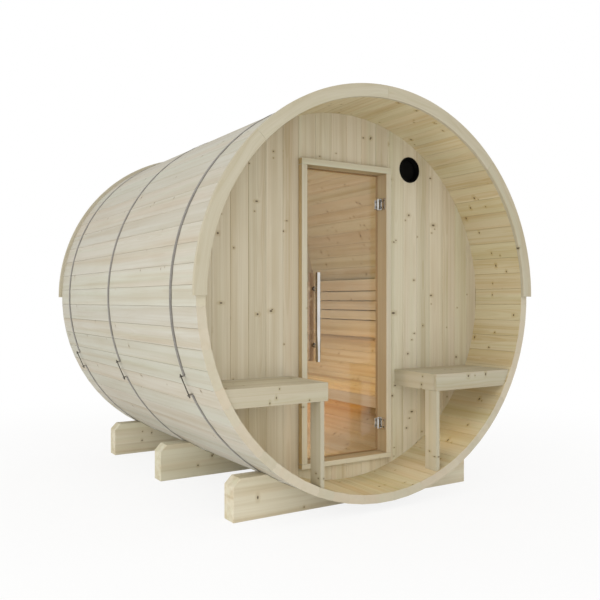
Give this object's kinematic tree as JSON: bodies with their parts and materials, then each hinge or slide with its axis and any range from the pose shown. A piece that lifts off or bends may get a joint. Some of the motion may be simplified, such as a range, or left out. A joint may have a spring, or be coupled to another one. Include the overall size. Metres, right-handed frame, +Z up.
{
  "type": "barrel sauna",
  "caption": "Barrel sauna of horizontal pine staves on cradle beams, with a recessed porch, porch benches, a tinted glass door, a round vent and an inner bench.",
  "frame": {"origin": "on the ground, under the middle of the barrel", "axes": "+Y along the barrel from the door end to the rear, +Z up, +X to the right for a person who looks at the door"},
  "size_m": [2.078, 2.268, 2.0988],
  "materials": {
    "staves": "planed, untreated",
    "arch_boards": "planed, untreated",
    "wall_boards": "planed, untreated",
    "door_frame": "planed, untreated",
    "cradle_wood": "sawn and planed",
    "bench_wood": "planed, untreated",
    "inner_wood": "planed, untreated",
    "tinted_glass": "clear, bronze tint",
    "handle_steel": "fine brushed",
    "hinge_chrome": "polished",
    "band_steel": "galvanised",
    "vent_black": "matt black"
  },
  "bodies": {
    "barrel": {"shell_01": "staves", "shell_02": "staves", "shell_03": "staves", "shell_04": "staves", "shell_05": "staves", "shell_06": "staves", "shell_07": "staves", "shell_08": "staves", "shell_09": "staves", "shell_10": "staves", "shell_11": "staves", "shell_12": "staves", "shell_13": "staves", "shell_14": "staves", "front_wall_left": "wall_boards", "front_wall_right": "wall_boards", "front_wall_over_door": "wall_boards", "front_wall_under_door": "wall_boards", "rear_wall": "wall_boards", "front_arch": "arch_boards", "rear_arch": "arch_boards", "vent_sleeve": "vent_black", "door_jamb_left": "door_frame", "door_jamb_right": "door_frame", "door_head": "door_frame", "door_sill": "door_frame", "hinge_leaves": "hinge_chrome", "band_front": "band_steel", "band_middle": "band_steel", "band_rear": "band_steel", "tensioner_rods": "band_steel", "cradle_front_beam": "cradle_wood", "cradle_middle_beam": "cradle_wood", "cradle_rear_beam": "cradle_wood", "porch_bench_left": "bench_wood", "porch_bench_right": "bench_wood", "porch_post_left": "bench_wood", "porch_post_right": "bench_wood", "bench_seat": "inner_wood", "bench_apron": "inner_wood", "bench_cleats": "inner_wood", "backrest_slats": "inner_wood", "backrest_battens": "inner_wood"},
    "door": {"door_glass": "tinted_glass", "door_handle": "handle_steel", "hinge_clamps": "hinge_chrome"}
  },
  "joints": [
    {"name": "door_hinge", "type": "hinge", "parent": "barrel", "child": "door", "pos_m": [0.245, -0.738, 1.06], "axis": [0, 0, 1], "range_deg": [0, 95]}
  ]
}
